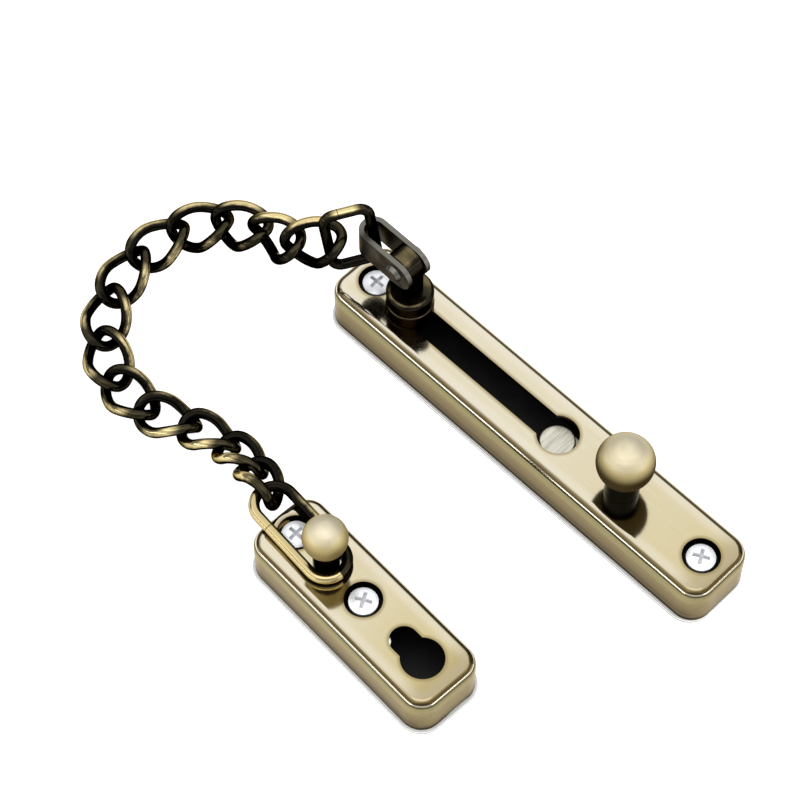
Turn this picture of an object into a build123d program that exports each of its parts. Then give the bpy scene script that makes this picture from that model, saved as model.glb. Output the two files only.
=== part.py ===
# Door chain: a slide plate, a captive slider with swivel strap, a twisted chain and an anchor plate.
# Frame: millimetres, +Z up, X along the slide plate, origin at the middle of the slide plate's back.
import math
import os

from build123d import *

os.makedirs("parts", exist_ok=True)

# plates, shared by the slide plate and the anchor plate
plate_w = 22.6
corner_r = 6.0
roll_r = 2.8
sheet = 1.2
base_t = 1.0
base_lip = 0.7
cover_h = 14.0
top_z = base_t + cover_h
under_z = top_z - sheet
fit = 0.05
clear = 0.3

# slide plate, with the insets of its features from the two ends
slide_len = 136.0
slide_screw_inset = 8.7
slot_inset = 21.4
entry_inset = 59.4
catch_inset = 36.5
slot_w = 7.8
entry_d = 11.6
slide_screw_x = slide_len / 2 - slide_screw_inset
slot_far_x = slot_inset - slide_len / 2
entry_x = slide_len / 2 - entry_inset
catch_x = slide_len / 2 - catch_inset

# anchor plate, measured from its own middle, with the insets of its features
anchor_len = 67.4
anchor_turn = -2.6
anchor_screw_inset = 7.7
knob_inset = 19.5
key_big_inset = 11.4
key_reach = 6.9
anchor_screw_x = (anchor_screw_inset - anchor_len / 2, 0.0)
knob_x = knob_inset - anchor_len / 2
key_big_x = anchor_len / 2 - key_big_inset
key_small_x = key_big_x - key_reach
notch_w = 7.6
notch_h = 0.9
notch_y = 2.0

# cover screws, their pressed cups and the pillars that they bite in
head_d = 7.8
head_h = 2.3
shank_d = 4.0
cup_d = 10.2
cup_depth = 2.5
cup_wall = 1.0
pillar_d = 8.0
shank_end_z = 2.4

# door screw holes in the base plates, kept away from the slot and the keyhole
door_hole_d = 4.6
slot_hole_off = 5.8
catch_hole_off = 15.8
knob_hole_off = 1.2
screw_hole_off = 7.0
slide_hole_x = (slot_far_x - slot_hole_off, catch_x + catch_hole_off)
anchor_hole_x = (knob_x + knob_hole_off, anchor_screw_x[1] + screw_hole_off)

# catch
catch_ball_d = 15.6
catch_ball_h = 14.3
catch_neck_d = 9.2
catch_groove = 0.5
catch_flange_d = 12.4
catch_flange_t = 1.2
catch_tail_d = 5.0
catch_travel = 3.4
tongue_t = 1.2
tongue_w = 9.0
nose_d = 9.8
nose_depth = 3.5
nose_h = 2.1
nose_top_z = top_z - nose_depth
tongue_z = nose_top_z - nose_h
spring_d = 7.4
spring_wire = 0.8
spring_turns = 5.0

# slider
foot_d = 10.6
foot_t = 3.2
foot_low_z = under_z - clear - foot_t
slider_neck_d = slot_w - 2 * clear
collar_d = 13.2
collar_h = 4.6
barrel_h = 5.0
pin_d = 4.4
pin_head_d = 6.4
pin_head_t = 1.0
stem_t = 4.8
stem_w = 9.4
rivet_dx = -2.1
rivet_h = 20.0
rivet_z = top_z + rivet_h
rivet_d = 3.0
rivet_head_d = 5.4
rivet_head_t = 1.2

# strap
strap_t = 1.4
strap_w = 9.0
strap_gap = stem_t + 2 * clear
strap_len = 11.4
strap_reach = 5.6

# wire work
wire_d = 3.0
link_play = 0.9
pitch_len = 13.0
link_half_w = 5.6
link_twist = 50.0
link_slope = 0.7
hook = wire_d + link_play
link_half_len = (pitch_len + hook) / 2

# rings
ring_slack = 0.8
ring_lift = 3.0
ring_half_len = 6.2
ring_half_w = 9.5
ring_corner_r = 3.0
ring_drop = 5.8
ring_turn = 238.0
ring_roll = -79.0
ring_rest = 0.35
ring_play = 0.4
ring_overhang = 6.8
neck_d = 7.1
neck_h = 10.0
knob_d = 12.0
knob_drop = 4.0
anchor_ring_r = neck_d / 2 + ring_play + wire_d / 2
anchor_ring_len = knob_inset + ring_overhang + anchor_ring_r
anchor_ring_turn = -4.7
anchor_ring_z = top_z + ring_rest + wire_d / 2

# the chain as it lies, one row for each link: heading, roll and the height of the far contact,
# as a share of the way from the floor up to the slider ring, and then up to the anchor ring
floor_z = 4.4
chain_down = [
    (212.0, -45.0, 0.825),
    (185.0, -60.0, 0.675),
    (197.0, -35.0, 0.528),
    (224.0, -22.0, 0.387),
    (251.0, -10.0, 0.252),
    (278.0, 0.0, 0.129),
    (305.0, 4.0, 0.043),
    (332.0, 6.0, 0.003),
    (359.0, 2.0, 0.0),
]
chain_up = [
    (384.0, -10.0, 0.012),
    (371.0, -22.0, 0.175),
    (353.0, -30.0, 0.566),
    (333.0, -36.0, 1.0),
]


def heading_plane(start, turn, drop, length, roll):
    """Plane on the middle of a straight reach: x along it, z up before the roll."""
    a = math.radians(turn)
    flat = math.sqrt(length**2 - drop**2)
    reach = Vector(flat * math.cos(a), flat * math.sin(a), -drop)
    left = Vector(-math.sin(a), math.cos(a), 0)
    up = reach.cross(left).normalized()
    tilt = math.radians(roll)
    normal = up * math.cos(tilt) - left * math.sin(tilt)
    return Plane(origin=start + reach * 0.5, x_dir=reach, z_dir=normal), start + reach


# where each piece of the chain lies
rivet_at = Vector(slot_far_x + rivet_dx, 0, rivet_z)
strap_apex = strap_len + strap_gap / 2
ring_seat = rivet_at + Vector(-(strap_apex - wire_d / 2 - ring_slack), 0, ring_lift)
ring_fall = 2 * ring_half_len * math.sin(math.radians(ring_drop))
ring_plane, ring_far = heading_plane(ring_seat, ring_turn, ring_fall, 2 * ring_half_len, ring_roll)
contact = ring_far - (ring_far - ring_seat).normalized() * (hook / 2)
contacts = [contact]
fall = contact.Z - floor_z
rise = anchor_ring_z - floor_z
chain = [(turn, roll, floor_z + share * fall) for turn, roll, share in chain_down]
chain += [(turn, roll, floor_z + share * rise) for turn, roll, share in chain_up]
link_planes = []
for turn, roll, far_z in chain:
    link_plane, contact = heading_plane(contact, turn, contact.Z - far_z, pitch_len, roll)
    link_planes.append(link_plane)
    contacts.append(contact)
away = Vector(math.cos(math.radians(anchor_ring_turn)), math.sin(math.radians(anchor_ring_turn)), 0)
anchor_ring_end = contacts[-1] - away * (hook / 2)
knob_at = anchor_ring_end + away * (anchor_ring_len - anchor_ring_r)
anchor_frame = Plane(
    origin=Vector(knob_at.X, knob_at.Y, 0), x_dir=(1, 0, 0), z_dir=(0, 0, 1)
).rotated((0, 0, anchor_turn))
anchor_frame = Plane(
    origin=anchor_frame.from_local_coords(Vector(-knob_x, 0, 0)),
    x_dir=anchor_frame.x_dir,
    z_dir=(0, 0, 1),
)


def cover_blank(length, screw_xs):
    """Deep drawn hollow cover with rolled top edges and a pressed cup at each screw."""
    with BuildPart() as inner:
        with BuildSketch(Plane.XY.offset(base_t)):
            RectangleRounded(length - 2 * sheet, plate_w - 2 * sheet, corner_r - sheet)
        extrude(amount=cover_h - sheet)
        fillet(inner.faces().sort_by(Axis.Z)[-1].edges(), roll_r - sheet)
    with BuildPart() as blank:
        with BuildSketch(Plane.XY.offset(base_t)):
            RectangleRounded(length, plate_w, corner_r)
        extrude(amount=cover_h)
        fillet(blank.faces().sort_by(Axis.Z)[-1].edges(), roll_r)
        add(inner.part, mode=Mode.SUBTRACT)
        with Locations(*[(x, 0, top_z) for x in screw_xs]):
            Cylinder(
                cup_d / 2 + cup_wall,
                cup_depth + cup_wall,
                align=(Align.CENTER, Align.CENTER, Align.MAX),
            )
            Cylinder(
                cup_d / 2,
                cup_depth,
                align=(Align.CENTER, Align.CENTER, Align.MAX),
                mode=Mode.SUBTRACT,
            )
            Cylinder(shank_d / 2 + clear / 2, 3 * cup_depth, mode=Mode.SUBTRACT)
    return blank.part


def pillars(xs):
    """Tapped pillars that stand on a base plate under the cups."""
    with BuildPart() as posts:
        with BuildSketch(Plane.XY.offset(base_t)):
            with Locations(*[(x, 0) for x in xs]):
                Circle(pillar_d / 2)
                Circle(shank_d / 2 + fit, mode=Mode.SUBTRACT)
        extrude(amount=top_z - cup_depth - cup_wall - base_t)
    return posts.part


def screws(xs):
    """Cover screws with low domed heads."""
    seat_z = top_z - cup_depth
    with BuildPart() as group:
        with BuildSketch(Plane.XZ):
            with BuildLine():
                Polyline(
                    (0, shank_end_z),
                    (shank_d / 2 - 0.5, shank_end_z),
                    (shank_d / 2, shank_end_z + 0.5),
                    (shank_d / 2, seat_z),
                    (head_d / 2, seat_z),
                    (head_d / 2, seat_z + head_h - 0.7),
                )
                TangentArc(
                    (0, seat_z + head_h), (head_d / 2, seat_z + head_h - 0.7), tangent=(1, 0)
                )
                Line((0, seat_z + head_h), (0, shank_end_z))
            make_face()
        revolve(axis=Axis.Z)
    return [Pos(x, 0, 0) * group.part for x in xs]


# slide plate cover
with BuildPart() as slide_cover:
    add(cover_blank(slide_len, (-slide_screw_x, slide_screw_x)))
    with BuildSketch(Plane.XY.offset(under_z)):
        with Locations(((slot_far_x + entry_x) / 2, 0)):
            SlotCenterToCenter(entry_x - slot_far_x, slot_w)
        with Locations((entry_x, 0)):
            Circle(entry_d / 2)
        with Locations((catch_x, 0)):
            Circle(catch_neck_d / 2 + fit)
    extrude(amount=sheet, mode=Mode.SUBTRACT)
slide_cover.part.label = "slide_cover"
export_step(slide_cover.part, "parts/slide_cover.step")

# slide plate base, flush with the cover at the near end
with BuildPart() as slide_base_plate:
    with BuildSketch():
        with Locations((-base_lip / 2, 0)):
            RectangleRounded(slide_len + base_lip, plate_w + 2 * base_lip, corner_r + base_lip)
        with Locations(*[(x, 0) for x in slide_hole_x]):
            Circle(door_hole_d / 2, mode=Mode.SUBTRACT)
    extrude(amount=base_t)
slide_base_plate.part.label = "slide_base_plate"
export_step(slide_base_plate.part, "parts/slide_base_plate.step")

with BuildPart() as slide_pillars:
    add(pillars((-slide_screw_x, slide_screw_x)))
slide_pillars.part.label = "slide_pillars"
export_step(slide_pillars.part, "parts/slide_pillars.step")

with BuildPart() as slide_cover_screws:
    add(screws((-slide_screw_x, slide_screw_x)))
slide_cover_screws.part.label = "slide_cover_screws"
export_step(slide_cover_screws.part, "parts/slide_cover_screws.step")

# catch knob: ball on a neck, with a stop flange under the cover and a tail through the tongue
ball_r = catch_ball_d / 2
ball_z = top_z + catch_ball_h
ball_cut = math.sqrt(ball_r**2 - (catch_neck_d / 2 + catch_groove) ** 2)
flange_top_z = under_z - clear
tongue_top_z = tongue_z + tongue_t
with BuildPart() as catch_knob:
    with BuildSketch(Plane.XZ):
        with BuildLine():
            ThreePointArc(
                (catch_neck_d / 2 + catch_groove, ball_z - ball_cut),
                (ball_r, ball_z),
                (0, ball_z + ball_r),
            )
            Polyline(
                (0, ball_z + ball_r),
                (0, tongue_z - 1.6),
                (catch_tail_d / 2, tongue_z - 1.6),
                (catch_tail_d / 2, tongue_top_z),
                (catch_neck_d / 2, tongue_top_z),
                (catch_neck_d / 2, flange_top_z - catch_flange_t),
                (catch_flange_d / 2, flange_top_z - catch_flange_t),
                (catch_flange_d / 2, flange_top_z),
                (catch_neck_d / 2, flange_top_z),
                (catch_neck_d / 2, ball_z - ball_cut),
                (catch_neck_d / 2 + catch_groove, ball_z - ball_cut),
            )
        make_face()
    revolve(axis=Axis.Z)
    catch_knob.part.position = (catch_x, 0, 0)
catch_knob.part.label = "catch_knob"
export_step(catch_knob.part, "parts/catch_knob.step")

# catch tongue: a flat arm with a round nose that closes the entry hole
with BuildPart() as catch_tongue:
    with BuildSketch(Plane.XY.offset(tongue_z)):
        with Locations(((entry_x + catch_x) / 2, 0)):
            SlotCenterToCenter(catch_x - entry_x, tongue_w)
    extrude(amount=tongue_t)
    with BuildSketch(Plane.XY.offset(tongue_z)):
        with Locations((entry_x, 0)):
            Circle(nose_d / 2)
    extrude(amount=nose_top_z - tongue_z)
    fillet(catch_tongue.faces().sort_by(Axis.Z)[-1].edges(), 0.5)
    with Locations((catch_x, 0, tongue_z)):
        Cylinder(catch_tail_d / 2, 4 * tongue_t, mode=Mode.SUBTRACT)
catch_tongue.part.label = "catch_tongue"
export_step(catch_tongue.part, "parts/catch_tongue.step")

# catch spring, on the base plate under the tongue
spring_h = tongue_z - base_t - spring_wire
with BuildPart() as catch_spring:
    with BuildLine(Plane.XY.offset(base_t + spring_wire / 2)) as coil:
        Helix(spring_h / spring_turns, spring_h, spring_d / 2 - spring_wire / 2)
    with BuildSketch(Plane(coil.line @ 0, z_dir=coil.line % 0)):
        Circle(spring_wire / 2)
    sweep()
    catch_spring.part.position = (catch_x, 0, 0)
catch_spring.part.label = "catch_spring"
export_step(catch_spring.part, "parts/catch_spring.step")

# slider shoe: foot under the cover, neck in the slot, collar on top, bored for the swivel pin
collar_low_z = top_z + clear
collar_top_z = collar_low_z + collar_h
recess_z = foot_low_z + clear + pin_head_t + clear
with BuildPart() as slider_shoe:
    with Locations((slot_far_x, 0, foot_low_z)):
        Cylinder(foot_d / 2, foot_t, align=(Align.CENTER, Align.CENTER, Align.MIN))
    with Locations((slot_far_x, 0, foot_low_z + foot_t)):
        Cylinder(
            slider_neck_d / 2,
            collar_low_z - foot_low_z - foot_t,
            align=(Align.CENTER, Align.CENTER, Align.MIN),
        )
    with Locations((slot_far_x, 0, collar_low_z)):
        Cylinder(collar_d / 2, collar_h, align=(Align.CENTER, Align.CENTER, Align.MIN))
    rims = slider_shoe.edges().filter_by(GeomType.CIRCLE)
    fillet(rims.filter_by(lambda e: abs(e.radius - collar_d / 2) < 0.01), 0.5)
    with Locations((slot_far_x, 0, foot_low_z)):
        Cylinder(pin_d / 2 + fit, 4 * (collar_top_z - foot_low_z), mode=Mode.SUBTRACT)
        Cylinder(
            pin_head_d / 2 + clear,
            recess_z - foot_low_z,
            align=(Align.CENTER, Align.CENTER, Align.MIN),
            mode=Mode.SUBTRACT,
        )
slider_shoe.part.label = "slider_shoe"
export_step(slider_shoe.part, "parts/slider_shoe.step")

# swivel head: barrel and upright stem on a pin that is spread under the foot
barrel_z = collar_top_z + clear
with BuildPart() as swivel_head:
    with Locations((slot_far_x, 0, barrel_z)):
        Cylinder(collar_d / 2 - 0.1, barrel_h, align=(Align.CENTER, Align.CENTER, Align.MIN))
    rims = swivel_head.edges().filter_by(GeomType.CIRCLE)
    fillet(rims.sort_by(Axis.Z)[-1:], 1.2)
    fillet(swivel_head.edges().filter_by(GeomType.CIRCLE).sort_by(Axis.Z)[:1], 0.4)
    with BuildSketch(Plane.XZ.offset(-stem_t / 2)):
        with BuildLine():
            left_x = slot_far_x + rivet_dx - stem_w / 2
            right_x = slot_far_x + rivet_dx + stem_w / 2
            low = barrel_z + barrel_h / 2
            Polyline((left_x, rivet_z), (left_x + 2.0, low), (right_x, low), (right_x, rivet_z))
            ThreePointArc(
                (left_x, rivet_z),
                (slot_far_x + rivet_dx, rivet_z + stem_w / 2),
                (right_x, rivet_z),
            )
        make_face()
    extrude(amount=stem_t)
    with Locations(Location((slot_far_x + rivet_dx, 0, rivet_z), (90, 0, 0))):
        Cylinder(rivet_d / 2 + fit, 3 * stem_t, mode=Mode.SUBTRACT)
    with Locations((slot_far_x, 0, foot_low_z + clear)):
        Cylinder(
            pin_d / 2,
            barrel_z - foot_low_z - clear + 0.5,
            align=(Align.CENTER, Align.CENTER, Align.MIN),
        )
        Cylinder(pin_head_d / 2, pin_head_t, align=(Align.CENTER, Align.CENTER, Align.MIN))
swivel_head.part.label = "swivel_head"
export_step(swivel_head.part, "parts/swivel_head.step")

# strap: a strip folded round the ring, its two round-ended arms riveted to the stem
strap_y = strap_gap / 2 + strap_t / 2
with BuildPart() as slider_strap:
    with BuildSketch(Plane.XY.offset(rivet_z - strap_w / 2)):
        with BuildLine():
            Line((rivet_at.X + strap_reach, strap_y), (rivet_at.X - strap_len, strap_y))
            ThreePointArc(
                (rivet_at.X - strap_len, strap_y),
                (rivet_at.X - strap_len - strap_y, 0),
                (rivet_at.X - strap_len, -strap_y),
            )
            Line((rivet_at.X - strap_len, -strap_y), (rivet_at.X + strap_reach, -strap_y))
        trace(line_width=strap_t)
    extrude(amount=strap_w)
    ends = slider_strap.edges().filter_by(Axis.Y).group_by(Axis.X)[-1]
    fillet(ends, strap_w / 2 - 0.1)
    with Locations(Location((rivet_at.X, 0, rivet_z), (90, 0, 0))):
        Cylinder(rivet_d / 2, 4 * strap_gap, mode=Mode.SUBTRACT)
slider_strap.part.label = "slider_strap"
export_step(slider_strap.part, "parts/slider_strap.step")

with BuildPart() as strap_rivet:
    with Locations(Location((rivet_at.X, 0, rivet_z), (90, 0, 0))):
        Cylinder(rivet_d / 2, strap_gap + 2 * strap_t)
    for side in (-1, 1):
        face_y = side * (strap_gap / 2 + strap_t)
        with BuildSketch(Plane((rivet_at.X, face_y, rivet_z), z_dir=(0, side, 0))):
            Circle(rivet_head_d / 2)
        extrude(amount=rivet_head_t, taper=25)
strap_rivet.part.label = "strap_rivet"
export_step(strap_rivet.part, "parts/strap_rivet.step")

# slider ring: a round wire ring bent nearly square
with BuildPart() as slider_ring:
    with BuildLine(ring_plane) as bent:
        FilletPolyline(
            (-ring_half_len, -ring_half_w),
            (ring_half_len, -ring_half_w),
            (ring_half_len, ring_half_w),
            (-ring_half_len, ring_half_w),
            radius=ring_corner_r,
            close=True,
        )
    ring_wire = bent.wires()[0]
    with BuildSketch(Plane(ring_wire @ 0, z_dir=ring_wire % 0)):
        Circle(wire_d / 2)
    sweep(path=ring_wire)
slider_ring.part.label = "slider_ring"
export_step(slider_ring.part, "parts/slider_ring.step")


def arc_pair(start, start_dir, end, end_dir):
    """Point where two arcs meet smoothly between two points with given directions."""
    gap = end - start
    both = start_dir + end_dir
    square = both.dot(both) - 4
    half = -gap.dot(both)
    reach = (-half - math.sqrt(half**2 - square * gap.dot(gap))) / square
    return (start + start_dir * reach + end - end_dir * reach) * 0.5


# twisted link: an oval of round wire whose two bows are turned opposite ways about its length
twist = math.radians(link_twist)
bow = Vector(link_half_len, 0, 0)
bow_dir = Vector(0, -math.cos(twist), math.sin(twist))
side = Vector(0, link_half_w, 0)
side_dir = Vector(1, 0, -link_slope).normalized()
joint = arc_pair(side, side_dir, bow, bow_dir)
with BuildPart() as link_half:
    with BuildLine() as bend:
        first = TangentArc(side, joint, tangent=side_dir)
        second = TangentArc(joint, bow, tangent=first % 1)
        third = TangentArc(bow, Vector(joint.X, -joint.Y, -joint.Z), tangent=second % 1)
        TangentArc(
            Vector(joint.X, -joint.Y, -joint.Z),
            Vector(0, -link_half_w, 0),
            tangent=third % 1,
        )
    with BuildSketch(Plane(side, z_dir=side_dir)):
        Circle(wire_d / 2)
    sweep(path=bend.wires()[0])

for number, link_plane in enumerate(link_planes, 1):
    with BuildPart() as chain_link:
        add(link_plane.location * link_half.part)
        add(link_plane.location * Rot(0, 0, 180) * link_half.part)
    chain_link.part.label = f"chain_link_{number:02d}"
    export_step(chain_link.part, f"parts/chain_link_{number:02d}.step")

# anchor ring: a long oval of round wire round the neck of the anchor knob
ring_mid = anchor_ring_end + away * (anchor_ring_len / 2)
anchor_ring_plane = Plane(ring_mid, x_dir=away, z_dir=(0, 0, 1))
straight = anchor_ring_len / 2 - anchor_ring_r
with BuildPart() as anchor_ring:
    with BuildLine(anchor_ring_plane) as oval:
        Line((-straight, -anchor_ring_r), (straight, -anchor_ring_r))
        ThreePointArc(
            (straight, -anchor_ring_r), (straight + anchor_ring_r, 0), (straight, anchor_ring_r)
        )
        Line((straight, anchor_ring_r), (-straight, anchor_ring_r))
        ThreePointArc(
            (-straight, anchor_ring_r), (-straight - anchor_ring_r, 0), (-straight, -anchor_ring_r)
        )
    oval_wire = oval.wires()[0]
    with BuildSketch(Plane(oval_wire @ 0, z_dir=oval_wire % 0)):
        Circle(wire_d / 2)
    sweep(path=oval_wire)
anchor_ring.part.label = "anchor_ring"
export_step(anchor_ring.part, "parts/anchor_ring.step")

# anchor plate cover with its keyhole, where the slider is parked, and a shallow notch in its end
tail_r = neck_d / 2 - 0.6
with BuildPart() as keyed_cover:
    add(cover_blank(anchor_len, anchor_screw_x))
    with BuildSketch(Plane.XY.offset(under_z)):
        with Locations((key_big_x, 0)):
            Circle(entry_d / 2)
        with Locations((key_small_x, 0)):
            Circle(slot_w / 2)
        with Locations(((key_small_x + key_big_x) / 2, 0)):
            Rectangle(key_big_x - key_small_x, slot_w)
        with Locations((knob_x, 0)):
            Circle(tail_r)
    extrude(amount=sheet, mode=Mode.SUBTRACT)
    with BuildSketch(Plane.YZ.offset(anchor_len / 2 - sheet / 2)):
        with Locations((notch_y, base_t)):
            Ellipse(notch_w / 2, notch_h)
    extrude(amount=sheet, both=True, mode=Mode.SUBTRACT)
with BuildPart() as anchor_cover:
    add(anchor_frame.location * keyed_cover.part)
anchor_cover.part.label = "anchor_cover"
export_step(anchor_cover.part, "parts/anchor_cover.step")

with BuildPart() as anchor_base_plate:
    with BuildSketch(anchor_frame):
        RectangleRounded(
            anchor_len + 2 * base_lip, plate_w + 2 * base_lip, corner_r + base_lip
        )
        with Locations(*[(x, 0) for x in anchor_hole_x]):
            Circle(door_hole_d / 2, mode=Mode.SUBTRACT)
    extrude(amount=base_t)
anchor_base_plate.part.label = "anchor_base_plate"
export_step(anchor_base_plate.part, "parts/anchor_base_plate.step")

with BuildPart() as anchor_pillars:
    add(anchor_frame.location * pillars(anchor_screw_x))
anchor_pillars.part.label = "anchor_pillars"
export_step(anchor_pillars.part, "parts/anchor_pillars.step")

with BuildPart() as anchor_cover_screws:
    add([anchor_frame.location * screw for screw in screws(anchor_screw_x)])
anchor_cover_screws.part.label = "anchor_cover_screws"
export_step(anchor_cover_screws.part, "parts/anchor_cover_screws.step")

# anchor knob: a flattened ball on a neck, its tail riveted under the cover
small_r = knob_d / 2
cut_r = math.sqrt(small_r**2 - knob_drop**2)
with BuildPart() as turned_knob:
    with BuildSketch(Plane.XZ):
        with BuildLine():
            ThreePointArc(
                (cut_r, top_z + neck_h),
                (small_r, top_z + neck_h + knob_drop),
                (0, top_z + neck_h + knob_drop + small_r),
            )
            Polyline(
                (0, top_z + neck_h + knob_drop + small_r),
                (0, under_z - 1.0),
                (tail_r + 1.6, under_z - 1.0),
                (tail_r + 1.6, under_z),
                (tail_r, under_z),
                (tail_r, top_z),
                (neck_d / 2, top_z),
                (neck_d / 2, top_z + neck_h),
                (cut_r, top_z + neck_h),
            )
        make_face()
    revolve(axis=Axis.Z)
with BuildPart() as anchor_knob:
    add(anchor_frame.location * Pos(knob_x, 0, 0) * turned_knob.part)
anchor_knob.part.label = "anchor_knob"
export_step(anchor_knob.part, "parts/anchor_knob.step")
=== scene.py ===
import math

import bpy
from mathutils import Matrix, Vector


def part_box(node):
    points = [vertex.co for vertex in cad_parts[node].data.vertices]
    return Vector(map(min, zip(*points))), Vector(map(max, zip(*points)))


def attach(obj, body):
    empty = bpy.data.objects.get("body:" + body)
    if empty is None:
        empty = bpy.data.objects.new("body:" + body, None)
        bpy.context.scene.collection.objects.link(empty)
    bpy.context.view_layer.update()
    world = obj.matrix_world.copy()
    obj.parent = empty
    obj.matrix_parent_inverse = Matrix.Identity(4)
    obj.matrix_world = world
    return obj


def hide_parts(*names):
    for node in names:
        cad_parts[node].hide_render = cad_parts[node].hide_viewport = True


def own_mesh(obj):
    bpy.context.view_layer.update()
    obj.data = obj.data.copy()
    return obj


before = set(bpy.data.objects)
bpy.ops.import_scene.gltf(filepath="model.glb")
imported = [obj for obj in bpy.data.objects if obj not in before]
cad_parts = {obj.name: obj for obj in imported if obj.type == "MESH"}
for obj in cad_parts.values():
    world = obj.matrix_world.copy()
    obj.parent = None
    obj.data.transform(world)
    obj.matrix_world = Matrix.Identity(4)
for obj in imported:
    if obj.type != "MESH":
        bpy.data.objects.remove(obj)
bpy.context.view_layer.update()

# Base plates and pillars
# Each plate stands on a thin blank of zinc plated steel that shows as a pale rim below the cover.
# Two tapped pillars are riveted to it, and take the cover screws. Inside the cover the steel is painted black
# as shade, and a painted contact shadow darkens the foot of the rim.
plate_width = 0.0226
plate_corner = 0.0060
slide_length = 0.1360
slide_middle = Vector((0.0, 0.0, 0.0))
slide_turn = 0.0
anchor_length = 0.0674
anchor_middle = Vector((0.00663937, -0.070297, 0.0))
anchor_turn = math.radians(-2.6)
anchor_lie = Matrix.Translation(anchor_middle) @ Matrix.Rotation(anchor_turn, 4, "Z")
painted_shade_above = 0.0009
contact_shadow_low, contact_shadow_high = 0.0002, 0.0004
cover_wall = 0.0012
cover_top = 0.0150
rim_zinc = (0.92, 0.91, 0.89, 1)
rim_grey = (0.74, 0.73, 0.71, 1)
rim_contact_shadow = (0.05, 0.045, 0.04, 1)
painted_shade_black = (0.004, 0.004, 0.004, 1)
zinc_metallic = 0.3
zinc_stretch = (900, 900, 900)
zinc_depth = 0.00002
zinc_rough_from, zinc_rough_to = -0.6, 1.6
bump_strength = 0.6
# scale, detail, roughness and share of the fine lines and of the broad lines
grain_layers = ((1.0, 4.0, 0.7, 0.65), (0.21, 2.0, 0.5, 0.35))


def node_in(tree, kind, **settings):
    """A node with its settings, and with its input values by name or number."""
    made = tree.nodes.new(kind)
    values = settings.pop("values", {})
    for key, value in settings.items():
        setattr(made, key, value)
    for key, value in values.items():
        if isinstance(value, bpy.types.NodeSocket):
            tree.links.new(value, made.inputs[key])
        else:
            made.inputs[key].default_value = value
    return made


def calc(tree, kind, *values):
    """The result of one Math node."""
    return node_in(tree, "ShaderNodeMath", operation=kind, values=dict(enumerate(values))).outputs[0]


def times(tree, first, second):
    """A product."""
    return calc(tree, "MULTIPLY", first, second)


def plus(tree, first, second):
    """A sum."""
    return calc(tree, "ADD", first, second)


def minus(tree, first, second):
    """A difference."""
    return calc(tree, "SUBTRACT", first, second)


def parts_of(tree, vector):
    """The x, y and z of a vector."""
    return node_in(tree, "ShaderNodeSeparateXYZ", values={0: vector}).outputs


def between(tree, value, low, high):
    """0 at low, 1 at high and smooth between."""
    ramp = node_in(
        tree,
        "ShaderNodeMapRange",
        interpolation_type="SMOOTHSTEP",
        values={"Value": value, "From Min": low, "From Max": high},
    )
    return ramp.outputs["Result"]


def mixed(tree, share, first, second):
    """Two colours mixed by a share."""
    mix = node_in(tree, "ShaderNodeMix", data_type="RGBA")
    for socket, value in ((mix.inputs[0], share), (mix.inputs[6], first), (mix.inputs[7], second)):
        if isinstance(value, bpy.types.NodeSocket):
            tree.links.new(value, socket)
        else:
            socket.default_value = value
    return mix.outputs[2]


def brushed_grain_group():
    """Fine lines that a belt or a brush leaves in metal, drawn long by the stretch."""
    group = bpy.data.node_groups.new("brushed_grain", "ShaderNodeTree")
    for name in ("Vector", "Stretch"):
        group.interface.new_socket(name, in_out="INPUT", socket_type="NodeSocketVector")
    group.interface.new_socket("Tone", in_out="OUTPUT", socket_type="NodeSocketFloat")
    given = group.nodes.new("NodeGroupInput")
    result = group.nodes.new("NodeGroupOutput")
    drawn = node_in(
        group,
        "ShaderNodeVectorMath",
        operation="MULTIPLY",
        values={0: given.outputs["Vector"], 1: given.outputs["Stretch"]},
    ).outputs[0]
    shares = []
    for scale, detail, roughness, share in grain_layers:
        noise = node_in(
            group,
            "ShaderNodeTexNoise",
            values={"Vector": drawn, "Scale": scale, "Detail": detail, "Roughness": roughness},
        )
        shares.append(times(group, noise.outputs["Fac"], share))
    group.links.new(plus(group, *shares), result.inputs["Tone"])
    return group


brushed_grain = brushed_grain_group()


def plate_distance_group():
    """Distance out from the rounded outline of a plate, negative inside it."""
    group = bpy.data.node_groups.new("plate_distance", "ShaderNodeTree")
    group.interface.new_socket("Vector", in_out="INPUT", socket_type="NodeSocketVector")
    for name in ("Half length", "Half width", "Corner"):
        group.interface.new_socket(name, in_out="INPUT", socket_type="NodeSocketFloat")
    group.interface.new_socket("Distance", in_out="OUTPUT", socket_type="NodeSocketFloat")
    given = group.nodes.new("NodeGroupInput").outputs
    result = group.nodes.new("NodeGroupOutput")
    at = parts_of(group, given["Vector"])
    over = []
    for axis, half in (("X", "Half length"), ("Y", "Half width")):
        flat = minus(group, given[half], given["Corner"])
        over.append(minus(group, calc(group, "ABSOLUTE", at[axis]), flat))
    beyond = [calc(group, "POWER", calc(group, "MAXIMUM", value, 0.0), 2.0) for value in over]
    outer = calc(group, "SQRT", plus(group, *beyond))
    within = calc(group, "MINIMUM", calc(group, "MAXIMUM", *over), 0.0)
    group.links.new(minus(group, plus(group, outer, within), given["Corner"]), result.inputs["Distance"])
    return group


plate_distance = plate_distance_group()


def new_metal(name, **shader_values):
    """A metal material and its tree, shader and coordinates."""
    metal = bpy.data.materials.new(name)
    metal.use_nodes = True
    tree = metal.node_tree
    shader = tree.nodes["Principled BSDF"].inputs
    shader["Metallic"].default_value = 1.0
    for key, value in shader_values.items():
        shader[key].default_value = value
    return metal, tree, shader, tree.nodes.new("ShaderNodeTexCoord").outputs


def grain_on(tree, vector, stretch):
    """The tone of the brushed grain with its own stretch."""
    return node_in(
        tree,
        "ShaderNodeGroup",
        node_tree=brushed_grain,
        values={"Vector": vector, "Stretch": stretch},
    ).outputs["Tone"]


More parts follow.
